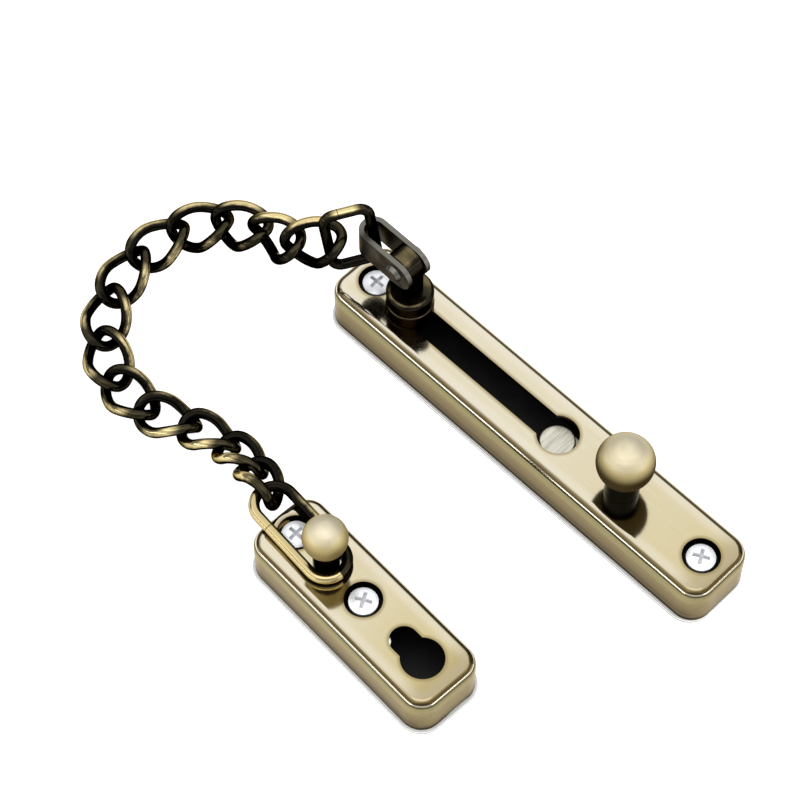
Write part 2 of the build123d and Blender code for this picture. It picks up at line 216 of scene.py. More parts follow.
def bump_from(tree, shader, height, distance):
    """Bump on the shader's normal."""
    bump = node_in(
        tree,
        "ShaderNodeBump",
        values={"Height": height, "Distance": distance, "Strength": bump_strength},
    )
    tree.links.new(bump.outputs["Normal"], shader["Normal"])


def in_plate(tree, place, middle, turn):
    """Coordinates from a plate's own middle, along its own length."""
    return node_in(
        tree,
        "ShaderNodeMapping",
        vector_type="TEXTURE",
        values={"Vector": place, "Location": middle, "Rotation": (0, 0, turn)},
    ).outputs[0]


def from_outline(tree, place, length):
    """How far a point lies out from a plate's outline."""
    sizes = {"Half length": length / 2, "Half width": plate_width / 2, "Corner": plate_corner}
    return node_in(
        tree,
        "ShaderNodeGroup",
        node_tree=plate_distance,
        values={"Vector": place, **sizes},
    ).outputs["Distance"]


def base_zinc(name, middle, turn, length):
    """Bright zinc at the rim with a painted contact shadow at its foot, and painted shade black under the
    cover.
    """
    metal, tree, shader, coords = new_metal(name, Metallic=zinc_metallic)
    place = in_plate(tree, coords["Object"], middle, turn)
    height = parts_of(tree, place)["Z"]
    grain = grain_on(tree, place, zinc_stretch)
    # painted shade: inside the cover outline and above its lowest layer the steel is painted black
    inner = calc(tree, "LESS_THAN", from_outline(tree, place, length), -cover_wall / 2)
    covered = times(tree, inner, calc(tree, "GREATER_THAN", height, painted_shade_above))
    zinc = mixed(tree, grain, rim_zinc, rim_grey)
    # painted contact shadow: the lowest fraction of a millimetre of the rim is painted dark
    zinc = mixed(tree, between(tree, height, contact_shadow_low, contact_shadow_high), rim_contact_shadow, zinc)
    tree.links.new(mixed(tree, covered, zinc, painted_shade_black), shader["Base Color"])
    tree.links.new(between(tree, grain, zinc_rough_from, zinc_rough_to), shader["Roughness"])
    bump_from(tree, shader, grain, zinc_depth)
    return metal


def dress(node, metal):
    """A solid keeps its shape and gets its finish."""
    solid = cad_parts[node]
    solid.data.materials.clear()
    solid.data.materials.append(metal)


for plate, middle, turn, length in (
    ("slide", slide_middle, slide_turn, slide_length),
    ("anchor", anchor_middle, anchor_turn, anchor_length),
):
    zinc = base_zinc(f"{plate}_base_zinc", middle, turn, length)
    dress(f"{plate}_base_plate", zinc)
    dress(f"{plate}_pillars", zinc)

# Pressed covers
# Each cover is drawn from sheet steel, plated brass, toned olive and brushed along its length.
# Toning stays round the holes. The face turns browner towards its near end, and the rolled edges and walls
# carry painted reflection and shade.
cup_radius = 0.0051
slot_radius = 0.0039
entry_radius = 0.0058
slider_at = -0.0466
entry_at = 0.0086
key_small_at = 0.0154
key_big_at = 0.0223
slide_screws_at = (-0.0593, 0.0593)
anchor_screws_at = (-0.0260, 0.0)
hole_toning = 0.0012
highlight_band_inner, highlight_band_outer = -0.0055, -0.0028
end_brown_from, end_brown_to = 0.012, 0.001
wall_low, wall_high = 0.002, 0.004
lining_top = cover_top - 0.0030
cut_edge = -0.0030
cut_top = cover_top - 0.0003
anchor_toning = 0.3
brush_stretch = (45, 2600, 2600)
brush_depth = 0.00001
line_from, line_to = 0.28, 0.72
line_share, wall_line_share = 0.40, 0.25
cloud_stretch = (28, 70, 70)
cloud_detail = 2.0
cloud_share = 0.45
sheen_fade_from, sheen_fade_to = -0.05, 0.5
sheen_fade_share = 0.6
highlight_band_share = 0.5
hole_share = 0.75
end_share = 0.65
end_facing_from, end_facing_to = 0.3, 0.95
end_wall_light_share = 0.5
flat_from, flat_to = 0.45, 0.60
level_from, level_to = 0.93, 0.99
cover_smooth, cover_spread = 0.04, 0.10
wall_dull, roll_dull = 0.14, 0.06
brass_pale = (0.67, 0.62, 0.515, 1)
brass_olive = (0.53, 0.445, 0.235, 1)
edge_brown = (0.27, 0.205, 0.085, 1)
roll_brown = (0.110, 0.077, 0.026, 1)
foot_black = (0.012, 0.009, 0.006, 1)
grazing_brass = (0.90, 0.82, 0.68, 1)
end_wall_light = (0.24, 0.195, 0.100, 1)
wall_shade_and_reflection_tones = (
    (0.0020, (0.008, 0.005, 0.003, 1)),
    (0.0028, (0.120, 0.098, 0.068, 1)),
    (0.0037, (0.066, 0.050, 0.026, 1)),
    (0.0050, (0.130, 0.100, 0.055, 1)),
    (0.0080, (0.190, 0.150, 0.080, 1)),
    (0.0098, (0.235, 0.190, 0.095, 1)),
    (0.0108, (0.290, 0.255, 0.125, 1)),
)
# painted reflections down the rolled edge by the lift of its normal: a brown band, a bright highlight line,
# and a dark line above the wall
roll_reflection_bands = (
    (0.985, 0.88, 0.72, 0.66, 0.95, roll_brown),
    (0.70, 0.66, 0.60, 0.56, 0.90, brass_pale),
    (0.58, 0.53, 0.44, 0.36, 0.75, foot_black),
)


def tone_up(tree, height, tones):
    """Colour by height, from a list of heights and colours."""
    low, high = tones[0][0], tones[-1][0]
    share = node_in(tree, "ShaderNodeMapRange", values={"Value": height, "From Min": low, "From Max": high})
    ramp = node_in(tree, "ShaderNodeValToRGB", values={"Fac": share.outputs["Result"]})
    stops = ramp.color_ramp.elements
    while len(stops) < len(tones):
        stops.new(1.0)
    for stop, (level, tone) in zip(stops, tones):
        stop.position = (level - low) / (high - low)
        stop.color = tone
    return ramp.outputs["Color"]


def from_holes(tree, at, holes):
    """Distance from the nearest hole, each a round or a long slot from one middle to another."""
    nearest = None
    for first, last, radius in holes:
        off = calc(tree, "ABSOLUTE", minus(tree, at["X"], (first + last) / 2))
        past = calc(tree, "MAXIMUM", minus(tree, off, (last - first) / 2), 0.0)
        span = plus(tree, calc(tree, "POWER", past, 2.0), calc(tree, "POWER", at["Y"], 2.0))
        rim = minus(tree, calc(tree, "SQRT", span), radius)
        nearest = rim if nearest is None else calc(tree, "MINIMUM", nearest, rim)
    return nearest


def rough_from(tree, grain, smooth, spread):
    """Roughness that goes up from a smooth value with the grain."""
    return plus(tree, smooth, times(tree, grain, spread))


def aged_and_shaded_cover(name, middle, turn, length, holes, toning):
    """Brushed and toned brass plate, with painted sheen, highlight, reflection and shade, and painted shade
    black inside.
    """
    metal, tree, shader, coords = new_metal(name, **{"Specular Tint": grazing_brass})
    place = in_plate(tree, coords["Object"], middle, turn)
    at = parts_of(tree, place)
    normal = parts_of(tree, coords["Normal"])
    outline = from_outline(tree, place, length)
    grain = grain_on(tree, place, brush_stretch)
    lines = between(tree, grain, line_from, line_to)
    stretched = node_in(tree, "ShaderNodeMapping", values={"Vector": place, "Scale": cloud_stretch})
    cloud = node_in(
        tree,
        "ShaderNodeTexNoise",
        values={"Vector": stretched.outputs[0], "Scale": 1.0, "Detail": cloud_detail},
    )
    # the flat face: random toning, and a painted sheen that leaves it pale at one end and olive at the other
    along = between(tree, at["X"], sheen_fade_from * length, sheen_fade_to * length)
    toning_and_sheen = plus(tree, times(tree, cloud.outputs["Fac"], cloud_share), times(tree, along, sheen_fade_share))
    face = mixed(tree, plus(tree, toning_and_sheen, toning), brass_pale, brass_olive)
    # painted highlight: a paler band on the flat face just inside the rolled edge
    painted_highlight_band = between(tree, outline, highlight_band_inner, highlight_band_outer)
    at_hole = between(tree, from_holes(tree, at, holes), hole_toning, 0.0)
    # browner towards the near end of the face
    near_end = between(tree, at["X"], length / 2 - end_brown_from, length / 2 - end_brown_to)
    for mask, share, tone in (
        (lines, line_share, brass_olive),
        (painted_highlight_band, highlight_band_share, brass_pale),
        (at_hole, hole_share, edge_brown),
        (near_end, end_share, edge_brown),
    ):
        face = mixed(tree, times(tree, mask, share), face, tone)
    # the walls: painted shade and reflection bands up their height, darkest at the foot
    wall = tone_up(tree, at["Z"], wall_shade_and_reflection_tones)
    # painted light: the end walls, which face along the plate, are painted lighter
    lit_end = between(tree, calc(tree, "ABSOLUTE", normal["X"]), end_facing_from, end_facing_to)
    above_foot = between(tree, at["Z"], wall_low, wall_high)
    wall = mixed(tree, times(tree, times(tree, lit_end, end_wall_light_share), above_foot), wall, end_wall_light)
    wall = mixed(tree, times(tree, lines, wall_line_share), wall, foot_black)
    # the rolled edge between them, with its painted reflection bands
    lift = calc(tree, "ABSOLUTE", normal["Z"])
    flat_share = between(tree, lift, flat_from, flat_to)
    skin = mixed(tree, flat_share, wall, face)
    for top, upper, lower, foot, share, tone in roll_reflection_bands:
        band = times(tree, between(tree, lift, top, upper), between(tree, lift, foot, lower))
        skin = mixed(tree, times(tree, band, share), skin, tone)
    # painted shade: the lining and the cut edges of the holes are painted black
    inner = calc(tree, "LESS_THAN", outline, -cover_wall / 2)
    lining = times(tree, inner, calc(tree, "LESS_THAN", at["Z"], lining_top))
    in_hole = calc(tree, "LESS_THAN", outline, cut_edge)
    cut = times(tree, in_hole, calc(tree, "LESS_THAN", at["Z"], cut_top))
    shaded_inside = calc(tree, "MAXIMUM", lining, cut)
    tree.links.new(mixed(tree, shaded_inside, skin, painted_shade_black), shader["Base Color"])
    satin = rough_from(tree, grain, cover_smooth, cover_spread)
    dull = plus(tree, satin, times(tree, minus(tree, 1.0, flat_share), wall_dull))
    rolled = times(tree, between(tree, lift, level_to, level_from), roll_dull)
    tree.links.new(plus(tree, dull, rolled), shader["Roughness"])
    brushed = times(tree, grain, between(tree, lift, level_from, level_to))
    bump_from(tree, shader, brushed, brush_depth)
    return metal


slide_holes = [(x, x, cup_radius) for x in slide_screws_at]
slide_holes += [(slider_at, entry_at, slot_radius), (entry_at, entry_at, entry_radius)]
anchor_holes = [(x, x, cup_radius) for x in anchor_screws_at]
anchor_holes += [(key_small_at, key_big_at, slot_radius), (key_big_at, key_big_at, entry_radius)]
for plate, middle, turn, length, holes, toning in (
    ("slide", slide_middle, slide_turn, slide_length, slide_holes, 0.0),
    ("anchor", anchor_middle, anchor_turn, anchor_length, anchor_holes, anchor_toning),
):
    dress(f"{plate}_cover", aged_and_shaded_cover(f"{plate}_cover_brass", middle, turn, length, holes, toning))

# Cover screws
# Short zinc plated machine screws with low domed heads and a cross recess sit in the pressed cups.
# They hold each cover down on the pillars of its base plate.
millimetre = 0.001
head_width = 0.0078
head_height = 0.0023
dome_share = 0.32
dome_power = 2.4
recess_width = 0.0010
recess_reach = 0.0046
recess_depth = 0.0015
recess_skew = 0.03
# the turn of each arm, and the height of the block that cuts it as a multiple of the depth
recess_arms = ((0.0, 2.0), (math.pi / 2, 1.9))
shank_width = 0.0040
seat_height = cover_top - 0.0025
shank_end = 0.0024
recess_floor, recess_mouth = seat_height + 0.00055, seat_height + 0.0013
screw_bright = (0.97, 0.97, 0.98, 1)
screw_grey = (0.86, 0.87, 0.89, 1)
recess_shade_grey = (0.40, 0.40, 0.42, 1)
screw_stretch = (700, 700, 700)
screw_metallic = 0.45
screw_smooth, screw_spread = 0.26, 0.2
screw_turn = math.radians(27.0)


def shape_tree(name, inputs):
    """A geometry tree with its named inputs, which are pairs of name and kind, and its result."""
    tree = bpy.data.node_groups.new(name, "GeometryNodeTree")
    tree.interface.new_socket("Geometry", in_out="OUTPUT", socket_type="NodeSocketGeometry")
    for socket, kind in inputs:
        tree.interface.new_socket(socket, in_out="INPUT", socket_type=f"NodeSocket{kind}")
    return tree, tree.nodes.new("NodeGroupInput").outputs, tree.nodes.new("NodeGroupOutput")


def end_tree(tree, result, shape, metal):
    """The close of each tree: real faces with their material."""
    real = node_in(tree, "GeometryNodeRealizeInstances", values={"Geometry": shape}).outputs["Geometry"]
    faced = node_in(tree, "GeometryNodeSetMaterial", values={"Geometry": real, "Material": metal})
    tree.links.new(faced.outputs["Geometry"], result.inputs["Geometry"])


def position(tree):
    """Where each point of a shape lies."""
    return tree.nodes.new("GeometryNodeInputPosition").outputs[0]


def on_z(tree, value):
    """A vector with only its z set."""
    return node_in(tree, "ShaderNodeCombineXYZ", values={"Z": value}).outputs[0]


def cross_screw_tree(metal):
    """Domed head with a cross recess, and a plain shank, sized in millimetres and set on each given place."""
    sizes = ("Head width", "Head height", "Recess width", "Recess reach", "Recess depth")
    sizes += ("Shank width", "Shank length", "Turn")
    tree, given, result = shape_tree(
        "cross_screws", [("Geometry", "Geometry")] + [(size, "Float") for size in sizes]
    )
    head_radius = times(tree, given["Head width"], 0.5)
    half_height = times(tree, given["Head height"], 0.5)
    head = node_in(
        tree,
        "GeometryNodeMeshCylinder",
        values={
            "Vertices": 40,
            "Side Segments": 1,
            "Fill Segments": 8,
            "Radius": head_radius,
            "Depth": given["Head height"],
        },
    )
    at = parts_of(tree, position(tree))
    out = calc(tree, "SQRT", plus(tree, *(calc(tree, "POWER", at[axis], 2.0) for axis in "XY")))
    fall = times(tree, calc(tree, "POWER", calc(tree, "DIVIDE", out, head_radius), dome_power), -dome_share)
    domed = node_in(
        tree,
        "GeometryNodeSetPosition",
        values={
            "Geometry": head.outputs["Mesh"],
            "Selection": calc(tree, "GREATER_THAN", at["Z"], 0.0),
            "Offset": on_z(tree, times(tree, fall, given["Head height"])),
        },
    )
    # the two arms of the recess are cut one after the other, the second a little shallower
    struck = domed.outputs["Geometry"]
    for turned, deep in recess_arms:
        size = node_in(
            tree,
            "ShaderNodeCombineXYZ",
            values={
                "X": given["Recess reach"],
                "Y": given["Recess width"],
                "Z": times(tree, given["Recess depth"], deep),
            },
        )
        block = node_in(tree, "GeometryNodeMeshCube", values={"Size": size.outputs[0]})
        arm = node_in(
            tree,
            "GeometryNodeTransform",
            values={
                "Geometry": block.outputs["Mesh"],
                "Translation": on_z(tree, half_height),
                "Rotation": (0, 0, turned + recess_skew),
            },
        )
        cut = node_in(
            tree,
            "GeometryNodeMeshBoolean",
            operation="DIFFERENCE",
            values={"Mesh 1": struck, "Mesh 2": arm.outputs["Geometry"]},
        )
        struck = cut.outputs["Mesh"]
    shank = node_in(
        tree,
        "GeometryNodeMeshCylinder",
        values={
            "Vertices": 24,
            "Radius": times(tree, given["Shank width"], 0.5),
            "Depth": given["Shank length"],
        },
    )
    low = times(tree, plus(tree, given["Head height"], given["Shank length"]), -0.5)
    hung = node_in(
        tree,
        "GeometryNodeTransform",
        values={"Geometry": shank.outputs["Mesh"], "Translation": on_z(tree, low)},
    )
    screw = tree.nodes.new("GeometryNodeJoinGeometry")
    for shape in (struck, hung.outputs["Geometry"]):
        tree.links.new(shape, screw.inputs[0])
    raised = node_in(
        tree,
        "GeometryNodeTransform",
        values={
            "Geometry": screw.outputs[0],
            "Translation": on_z(tree, times(tree, half_height, millimetre)),
            "Scale": (millimetre, millimetre, millimetre),
        },
    )
    index = tree.nodes.new("GeometryNodeInputIndex").outputs[0]
    placed = node_in(
        tree,
        "GeometryNodeInstanceOnPoints",
        values={
            "Points": given["Geometry"],
            "Instance": raised.outputs["Geometry"],
            "Rotation": on_z(tree, times(tree, index, given["Turn"])),
        },
    )
    end_tree(tree, result, placed.outputs["Instances"], metal)
    return tree


def made_by(tree, name, values, points=((0, 0, 0),)):
    """A plain mesh object from a geometry tree, on these points, with its named inputs set."""
    seed = bpy.data.meshes.new(name)
    seed.from_pydata([tuple(point) for point in points], [], [])
    source = bpy.data.objects.new(name + "_seed", seed)
    bpy.context.collection.objects.link(source)
    modifier = source.modifiers.new("make", "NODES")
    modifier.node_group = tree
    for socket in tree.interface.items_tree:
        if socket.in_out == "INPUT" and socket.name in values:
            modifier[socket.identifier] = values[socket.name]
    bpy.context.view_layer.update()
    depsgraph = bpy.context.evaluated_depsgraph_get()
    mesh = bpy.data.meshes.new_from_object(source.evaluated_get(depsgraph))
    source.modifiers.remove(modifier)
    bpy.data.objects.remove(source)
    piece = bpy.data.objects.new(name, mesh)
    bpy.context.collection.objects.link(piece)
    return piece


screw_zinc, tree, shader, coords = new_metal("screw_zinc", Metallic=screw_metallic)
grain = grain_on(tree, coords["Object"], screw_stretch)
height = parts_of(tree, coords["Object"])["Z"]
bright = mixed(tree, grain, screw_bright, screw_grey)
# painted shade: the cross recess is painted a darker grey
out_of_recess = between(tree, height, recess_floor, recess_mouth)
tree.links.new(mixed(tree, out_of_recess, recess_shade_grey, bright), shader["Base Color"])
tree.links.new(rough_from(tree, grain, screw_smooth, screw_spread), shader["Roughness"])

screw_tree = cross_screw_tree(screw_zinc)
screw_sizes = {
    "Head width": head_width / millimetre,
    "Head height": head_height / millimetre,
    "Recess width": recess_width / millimetre,
    "Recess reach": recess_reach / millimetre,
    "Recess depth": recess_depth / millimetre,
    "Shank width": shank_width / millimetre,
    "Shank length": (seat_height - shank_end) / millimetre,
    "Turn": screw_turn,
}
slide_screw_places = [Vector((x, 0, seat_height)) for x in slide_screws_at]
anchor_screw_places = [anchor_lie @ Vector((x, 0, seat_height)) for x in anchor_screws_at]
for plate, places in (("slide", slide_screw_places), ("anchor", anchor_screw_places)):
    heads = made_by(screw_tree, f"{plate}_cross_screws", screw_sizes, places)
    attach(heads, f"{plate}_plate")
    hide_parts(f"{plate}_cover_screws")

# Catch and anchor knobs
# Turned brass balls on dark necks, satin finished on a lathe, with painted shade on the lower side of each
# ball.
# The catch knob pushes a steel tongue whose round nose closes the entry hole; a coil spring lifts it.
catch_at = Vector((0.0315, 0, 0))
catch_ball_middle = cover_top + 0.0143
catch_ball_radius = 0.0078
catch_neck_top = cover_top + 0.0086
anchor_knob_at = anchor_lie @ Vector((-0.0142, 0, 0))
anchor_ball_middle = cover_top + 0.0140
anchor_ball_radius = 0.0060
anchor_neck_top = cover_top + 0.0100
neck_edge_low, neck_edge_high = -0.0004, 0.0002
spring_wire = 0.0008
spring_turns = 5.0
knob_satin = (0.71, 0.645, 0.49, 1)
knob_toned_and_shaded = (0.58, 0.47, 0.225, 1)
knob_grazing = (0.50, 0.50, 0.50, 1)
catch_under_shade = (0.05, 0.035, 0.012, 1)
anchor_under_shade = (0.26, 0.20, 0.08, 1)
neck_dark = (0.007, 0.0065, 0.006, 1)
tongue_pale = (0.72, 0.69, 0.60, 1)
tongue_grey = (0.40, 0.375, 0.30, 1)
lathe_stretch = (260, 260, 2400)
tongue_stretch = (1500, 90, 1500)
lathe_depth = 0.00003
lathe_from, lathe_to = 0.3, 0.7
lathe_share = 0.4
ball_shade_from, ball_shade_to = 0.45, 0.88
under_shade_from, under_shade_to = 0.12, 0.72
knob_smooth, knob_spread = 0.44, 0.22
neck_polish = 0.38
tongue_smooth, tongue_spread = 0.3, 0.25


def turned_knob(name, axis_at, ball_middle, ball_radius, neck_top, under):
    """Satin ball with lathe grain about its own axis, with painted shade below, on a black neck."""
    metal, tree, shader, coords = new_metal(name, **{"Specular Tint": knob_grazing})
    place = in_plate(tree, coords["Object"], axis_at, 0.0)
    height = parts_of(tree, place)["Z"]
    grain = grain_on(tree, place, lathe_stretch)
    lines = between(tree, grain, lathe_from, lathe_to)
    satin = mixed(tree, times(tree, lines, lathe_share), knob_satin, knob_toned_and_shaded)
    up_ball = calc(tree, "DIVIDE", minus(tree, height, ball_middle), ball_radius)
    # painted shade: the ball darkens from its top down to the under colour at its lower side
    satin = mixed(tree, between(tree, up_ball, ball_shade_from, ball_shade_to), knob_toned_and_shaded, satin)
    satin = mixed(tree, between(tree, up_ball, under_shade_from, under_shade_to), under, satin)
    on_ball = between(tree, height, neck_top + neck_edge_low, neck_top + neck_edge_high)
    tree.links.new(mixed(tree, on_ball, neck_dark, satin), shader["Base Color"])
    soft = rough_from(tree, grain, knob_smooth, knob_spread)
    polish = times(tree, minus(tree, 1.0, on_ball), neck_polish)
    tree.links.new(minus(tree, soft, polish), shader["Roughness"])
    bump_from(tree, shader, grain, lathe_depth)
    return metal


catch_brass = turned_knob(
    "catch_knob_brass", catch_at, catch_ball_middle, catch_ball_radius, catch_neck_top, catch_under_shade
)
anchor_brass = turned_knob(
    "anchor_knob_brass", anchor_knob_at, anchor_ball_middle, anchor_ball_radius, anchor_neck_top, anchor_under_shade
)
dress("catch_knob", catch_brass)
dress("anchor_knob", anchor_brass)

tongue_steel, tree, shader, coords = new_metal("tongue_steel")
grain = grain_on(tree, coords["Object"], tongue_stretch)
lines = between(tree, grain, lathe_from, lathe_to)
tree.links.new(mixed(tree, lines, tongue_pale, tongue_grey), shader["Base Color"])
tree.links.new(rough_from(tree, grain, tongue_smooth, tongue_spread), shader["Roughness"])
bump_from(tree, shader, grain, lathe_depth)
dress("catch_tongue", tongue_steel)


def coil_tree(metal):
    """A coil of round wire that stands on its place."""
    sizes = ("Radius", "Height", "Turns", "Wire width")
    tree, given, result = shape_tree("coil", [(size, "Float") for size in sizes])
    line = node_in(
        tree,
        "GeometryNodeCurveSpiral",
        values={
            "Resolution": 32,
            "Rotations": given["Turns"],
            "Start Radius": given["Radius"],
            "End Radius": given["Radius"],
            "Height": given["Height"],
        },
    )
    section = node_in(
        tree,
        "GeometryNodeCurvePrimitiveCircle",
        values={"Resolution": 10, "Radius": times(tree, given["Wire width"], 0.5)},
    )
    tube = node_in(
        tree,
        "GeometryNodeCurveToMesh",
        values={"Curve": line.outputs["Curve"], "Profile Curve": section.outputs["Curve"], "Fill Caps": True},
    )
    end_tree(tree, result, tube.outputs["Mesh"], metal)
    return tree


spring_low, spring_high = (Vector(corner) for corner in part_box("catch_spring"))
spring_tall = spring_high.z - spring_low.z
spring_foot = Vector(((spring_low.x + spring_high.x) / 2, 0, spring_low.z))
coil_sizes = {
    "Radius": (spring_high.x - spring_low.x - spring_wire) / 2,
    "Height": spring_tall - spring_wire,
    "Turns": spring_turns,
    "Wire width": spring_wire,
}
catch_coil = made_by(coil_tree(tongue_steel), "catch_coil", coil_sizes)
catch_coil.data.transform(Matrix.Translation(spring_foot + Vector((0, 0, spring_wire / 2))))
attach(catch_coil, "slide_plate")
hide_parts("catch_spring")
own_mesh(catch_coil)

# Slider: shoe, swivel head, strap and rivet
# The shoe runs in the slot and the head turns on it. Both are steel, toned black, and brassy where they face
# up, which is wear mixed with painted light from above.
# The strap is a folded strip of grey steel, riveted through the head.
stud_dark = (0.016, 0.014, 0.010, 1)
stud_brass = (0.20, 0.155, 0.075, 1)
strap_dark = (0.050, 0.048, 0.046, 1)
strap_worn_and_lit = (0.16, 0.150, 0.130, 1)
grazing_dark = (0.35, 0.32, 0.28, 1)
toned_stretch = (700, 700, 700)
toned_depth = 0.00002
patch_scale = 190.0
patch_detail = 2.0
patch_middle = 0.5
grain_wear = 0.5
toned_spread = 0.2
stud_worn_and_lit_from, stud_worn_and_lit_to = 0.95, 1.6
stud_smooth = 0.10
strap_worn_and_lit_from, strap_worn_and_lit_to = 0.0, 0.9
strap_smooth = 0.24


def toned_black(name, dark, bright, worn_and_lit_from, worn_and_lit_to, smooth):
    """Black toned metal, brighter where it faces up, which is wear mixed with painted light from above."""
    metal, tree, shader, coords = new_metal(name, **{"Specular Tint": grazing_dark})
    lift = parts_of(tree, coords["Normal"])["Z"]
    grain = grain_on(tree, coords["Object"], toned_stretch)
    patch = node_in(
        tree,
        "ShaderNodeTexNoise",
        values={"Vector": coords["Object"], "Scale": patch_scale, "Detail": patch_detail},
    )
    # painted light mixed with wear: faces that point up turn to the brighter metal
    rubbed_and_lit = plus(tree, lift, times(tree, grain, grain_wear))
    rubbed_and_lit = plus(tree, rubbed_and_lit, minus(tree, patch.outputs["Fac"], patch_middle))
    worn = between(tree, rubbed_and_lit, worn_and_lit_from, worn_and_lit_to)
    tree.links.new(mixed(tree, worn, dark, bright), shader["Base Color"])
    tree.links.new(rough_from(tree, grain, smooth, toned_spread), shader["Roughness"])
    bump_from(tree, shader, grain, toned_depth)
    return metal


stud_black = toned_black(
    "stud_black", stud_dark, stud_brass, stud_worn_and_lit_from, stud_worn_and_lit_to, stud_smooth
)
for node in ("slider_shoe", "swivel_head"):
    dress(node, stud_black)
strap_grey = toned_black(
    "strap_grey", strap_dark, strap_worn_and_lit, strap_worn_and_lit_from, strap_worn_and_lit_to, strap_smooth
)
for node in ("slider_strap", "strap_rivet"):
    dress(node, strap_grey)

# Wire rings
# The slider ring is bent nearly square and the anchor ring into a long oval, from the chain's own wire.
# Both are toned black and tumbled, so that brass shows on the outside of each bend, and a painted highlight
# adds gold where the wire faces up.
wire_width = 0.0030
ring_step = 0.0002
joint_reach = 0.00016
wire_grazing = (0.30, 0.26, 0.20, 1)
wire_black = (0.009, 0.008, 0.006, 1)
wire_gold = (0.66, 0.53, 0.265, 1)
joint_black = (0.004, 0.003, 0.003, 1)
wire_stretch = (420, 420, 420)
wire_depth = 0.00001
outward_share, painted_highlight_share = 0.45, 0.45
tumbled_share = 0.5
tumbled_and_lit_from, tumbled_and_lit_to = 0.68, 1.02
limb_from, limb_to = 0.72, 0.30
bow_shown, limb_shown = 0.05, 0.95
worn_side_from, worn_side_to = -0.05, 0.40
wire_smooth, wire_spread = 0.08, 0.16


def noted(tree, shape, name, value):
    """A shape with a value kept on each of its points under a name."""
    return node_in(
        tree,
        "GeometryNodeStoreNamedAttribute",
        data_type="FLOAT",
        domain="POINT",
        values={"Geometry": shape, "Name": name, "Value": value},
    ).outputs["Geometry"]


def wire_finish(tree, given, line, half_length):
    """Round wire on a closed line, with how far each point lies outward and from the two ends."""
    section = node_in(
        tree,
        "GeometryNodeCurvePrimitiveCircle",
        values={"Resolution": 18, "Radius": times(tree, given["Wire width"], 0.5)},
    )
    tube = node_in(
        tree, "GeometryNodeCurveToMesh", values={"Curve": line, "Profile Curve": section.outputs["Curve"]}
    )
    smooth = node_in(tree, "GeometryNodeSetShadeSmooth", values={"Geometry": tube.outputs["Mesh"]})
    away = node_in(tree, "ShaderNodeVectorMath", operation="NORMALIZE", values={0: position(tree)})
    normal = tree.nodes.new("GeometryNodeInputNormal").outputs["Normal"]
    outward = node_in(
        tree, "ShaderNodeVectorMath", operation="DOT_PRODUCT", values={0: normal, 1: away.outputs[0]}
    )
    along = calc(tree, "ABSOLUTE", parts_of(tree, position(tree))["X"])
    shape = noted(tree, smooth.outputs["Geometry"], "outward", outward.outputs["Value"])
    return noted(tree, shape, "to_end", calc(tree, "DIVIDE", along, half_length))


def bent_ring_tree(metal):
    """A ring of round wire bent to a rectangle with round corners."""
    sizes = ("Length", "Width", "Corner", "Wire width", "Joint", "Worn")
    tree, given, result = shape_tree("bent_ring", [(size, "Float") for size in sizes])
    square = node_in(
        tree,
        "GeometryNodeCurvePrimitiveQuadrilateral",
        values={"Width": given["Length"], "Height": given["Width"]},
    )
    bent = node_in(
        tree,
        "GeometryNodeFilletCurve",
        mode="POLY",
        values={"Curve": square.outputs["Curve"], "Radius": given["Corner"], "Count": 14},
    )
    even = node_in(
        tree,
        "GeometryNodeResampleCurve",
        mode="LENGTH",
        values={"Curve": bent.outputs["Curve"], "Length": ring_step},
    )
    wire = wire_finish(tree, given, even.outputs["Curve"], times(tree, given["Length"], 0.5))
    # the butt joint is a dark line across the wire, on the side of negative y, where the wire is also worn
    at = parts_of(tree, position(tree))
    near_side = calc(tree, "LESS_THAN", at["Y"], 0.0)
    off_joint = calc(tree, "ABSOLUTE", minus(tree, at["X"], given["Joint"]))
    at_joint = calc(tree, "LESS_THAN", off_joint, joint_reach)
    for name, value in (("joint", at_joint), ("worn", given["Worn"])):
        wire = noted(tree, wire, name, times(tree, value, near_side))
    end_tree(tree, result, wire, metal)
    return tree


wire_bronze, tree, shader, coords = new_metal("wire_bronze", **{"Specular Tint": wire_grazing})
outward, to_end, joint, worn = (
    node_in(tree, "ShaderNodeAttribute", attribute_name=name).outputs["Fac"]
    for name in ("outward", "to_end", "joint", "worn")
)
lift = parts_of(tree, coords["Normal"])["Z"]
grain = grain_on(tree, coords["Object"], wire_stretch)
# painted highlight mixed with tumbling: gold shows where the wire points outward and where it faces up
facing = plus(tree, times(tree, outward, outward_share), times(tree, lift, painted_highlight_share))
tumbled_and_lit = plus(tree, facing, times(tree, grain, tumbled_share))
rubbed_and_lit = between(tree, tumbled_and_lit, tumbled_and_lit_from, tumbled_and_lit_to)
on_limb = between(tree, to_end, limb_from, limb_to)
shown = times(tree, rubbed_and_lit, plus(tree, bow_shown, times(tree, on_limb, limb_shown)))
worn_face = times(tree, worn, between(tree, facing, worn_side_from, worn_side_to))
bronze = mixed(tree, calc(tree, "MAXIMUM", shown, worn_face), wire_black, wire_gold)
tree.links.new(mixed(tree, joint, bronze, joint_black), shader["Base Color"])
tree.links.new(rough_from(tree, grain, wire_smooth, wire_spread), shader["Roughness"])
bump_from(tree, shader, grain, wire_depth)

